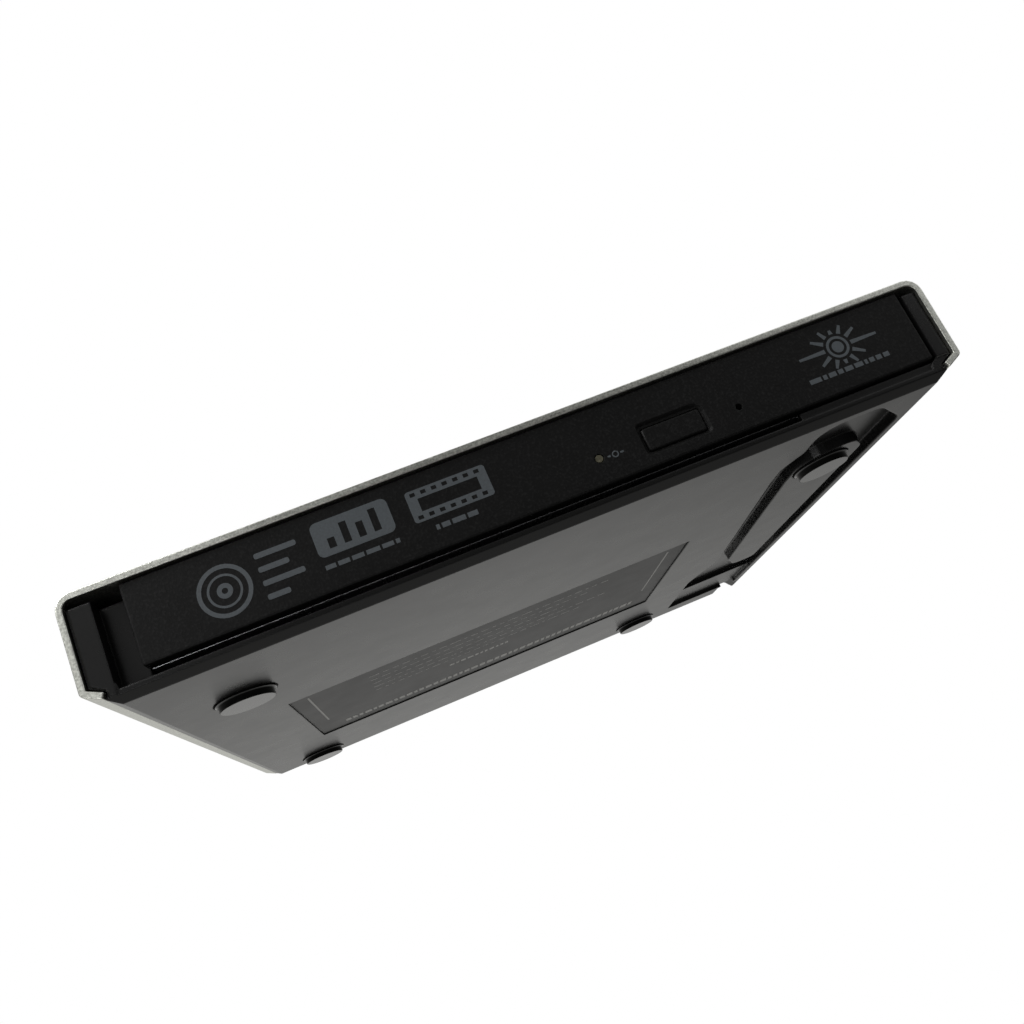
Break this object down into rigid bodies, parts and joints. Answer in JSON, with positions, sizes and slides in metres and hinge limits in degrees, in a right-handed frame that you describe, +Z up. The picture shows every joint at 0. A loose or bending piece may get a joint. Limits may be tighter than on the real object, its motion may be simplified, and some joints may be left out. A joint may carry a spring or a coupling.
{
  "type": "external optical drive",
  "caption": "Slim USB optical drive: bent aluminium cover over a black plastic shell with a cable channel, and a tray-loading disc drive with telescoping rails.",
  "frame": {"origin": "centre of the footprint, on the plane that the feet stand on", "axes": "+X to the right seen from the front, the front bezel faces -Y, +Z up"},
  "size_m": [0.142, 0.136, 0.0188],
  "materials": {
    "aluminium": "satin, brushed",
    "black_shell": "semi-gloss, fine grain",
    "black_bezel": "spark-eroded grain",
    "grey_tray": "satin",
    "steel": "zinc plated",
    "dark_steel": "black zinc",
    "rubber": "smooth",
    "label": "satin film",
    "green_board": "solder resist",
    "chip": "moulded",
    "white_plastic": "natural acetal",
    "lamp": "clear light guide",
    "flex": "polyimide film",
    "glass": "coated"
  },
  "bodies": {
    "case": {"top_cover": "aluminium", "bottom_shell": "black_shell", "foot_front_left": "rubber", "foot_front_right": "rubber", "foot_rear_left": "rubber", "foot_rear_right": "rubber", "rating_label": "label", "rear_panel": "black_shell", "bridge_board": "green_board", "bridge_chip": "chip", "usb_socket": "steel", "power_jack": "chip", "sata_plug": "chip", "panel_screw_left": "dark_steel", "panel_screw_right": "dark_steel", "bracket_screw_lower": "dark_steel", "bracket_screw_upper": "dark_steel", "drive_bracket": "steel", "drive_chassis": "steel", "drive_lid": "steel", "striker_pin": "steel", "rail_guide_left": "white_plastic", "rail_guide_right": "white_plastic", "rear_board": "green_board", "drive_connector": "chip", "flex_cable": "flex"},
    "left_rail": {"rail_left": "steel"},
    "right_rail": {"rail_right": "steel"},
    "tray_unit": {"tray": "grey_tray", "bezel": "black_bezel", "lamp_window": "lamp", "busy_lamp": "white_plastic", "eject_switch": "white_plastic", "tray_board": "green_board", "main_chip": "chip", "traverse_plate": "steel", "traverse_screw_1": "dark_steel", "traverse_screw_2": "dark_steel", "traverse_screw_3": "dark_steel", "spindle_base": "steel", "guide_rod_main": "steel", "guide_rod_side": "steel", "sled_motor": "dark_steel", "latch_pivot": "steel", "solenoid": "dark_steel", "eject_spring": "steel"},
    "spindle": {"rotor": "steel", "turntable": "grey_tray", "disc_pad": "rubber"},
    "claw_1": {"hub_claw_1": "white_plastic"},
    "claw_2": {"hub_claw_2": "white_plastic"},
    "claw_3": {"hub_claw_3": "white_plastic"},
    "screw": {"lead_screw": "steel"},
    "pickup": {"sled": "dark_steel"},
    "lens_carrier": {"lens_holder": "chip", "lens": "glass"},
    "button": {"eject_button": "black_bezel"},
    "latch": {"latch_lever": "white_plastic"},
    "pusher": {"eject_pusher": "white_plastic"}
  },
  "joints": [
    {"name": "tray_slide", "type": "slide", "parent": "case", "child": "tray_unit", "axis": [0, -1, 0], "range_m": [0, 0.12]},
    {"name": "rail_left_slide", "type": "slide", "parent": "case", "child": "left_rail", "axis": [0, -1, 0], "range_m": [0, 0.06]},
    {"name": "rail_right_slide", "type": "slide", "parent": "case", "child": "right_rail", "axis": [0, -1, 0], "range_m": [0, 0.06]},
    {"name": "button_press", "type": "slide", "parent": "tray_unit", "child": "button", "axis": [0, 1, 0], "range_m": [0, 0.0006], "stiffness_N_per_m": 600},
    {"name": "spindle_spin", "type": "hinge", "parent": "tray_unit", "child": "spindle", "pos_m": [0.0024, -0.0027, 0.013], "axis": [0, 0, 1], "continuous": true},
    {"name": "claw_1_slide", "type": "slide", "parent": "spindle", "child": "claw_1", "axis": [-0.7071, 0.7071, 0], "range_m": [0, 0.0007], "stiffness_N_per_m": 200},
    {"name": "claw_2_slide", "type": "slide", "parent": "spindle", "child": "claw_2", "axis": [-0.2588, -0.9659, 0], "range_m": [0, 0.0007], "stiffness_N_per_m": 200},
    {"name": "claw_3_slide", "type": "slide", "parent": "spindle", "child": "claw_3", "axis": [0.9659, 0.2588, 0], "range_m": [0, 0.0007], "stiffness_N_per_m": 200},
    {"name": "pickup_slide", "type": "slide", "parent": "tray_unit", "child": "pickup", "axis": [0.7071, -0.7071, 0], "range_m": [0, 0.034]},
    {"name": "lead_screw_spin", "type": "hinge", "parent": "tray_unit", "child": "screw", "pos_m": [0.00763, -0.03989, 0.0092], "axis": [0.7071, -0.7071, 0], "range_deg": [-1, 4081]},
    {"name": "lens_focus", "type": "slide", "parent": "pickup", "child": "lens_carrier", "axis": [0, 0, 1], "range_m": [-0.0004, 0.0004], "stiffness_N_per_m": 60},
    {"name": "latch_turn", "type": "hinge", "parent": "tray_unit", "child": "latch", "pos_m": [-0.048, -0.04, 0.007], "axis": [0, 0, 1], "range_deg": [-18, 0]},
    {"name": "pusher_slide", "type": "slide", "parent": "tray_unit", "child": "pusher", "axis": [0, 1, 0], "range_m": [0, 0.008]}
  ],
  "couplings": [
    {"joint": "rail_left_slide", "follows": "tray_slide", "ratio": 0.5},
    {"joint": "rail_right_slide", "follows": "tray_slide", "ratio": 0.5},
    {"joint": "pusher_slide", "follows": "tray_slide", "ratio": 0.066},
    {"joint": "lead_screw_spin", "follows": "pickup_slide", "rad_per_m": 2094.4}
  ]
}
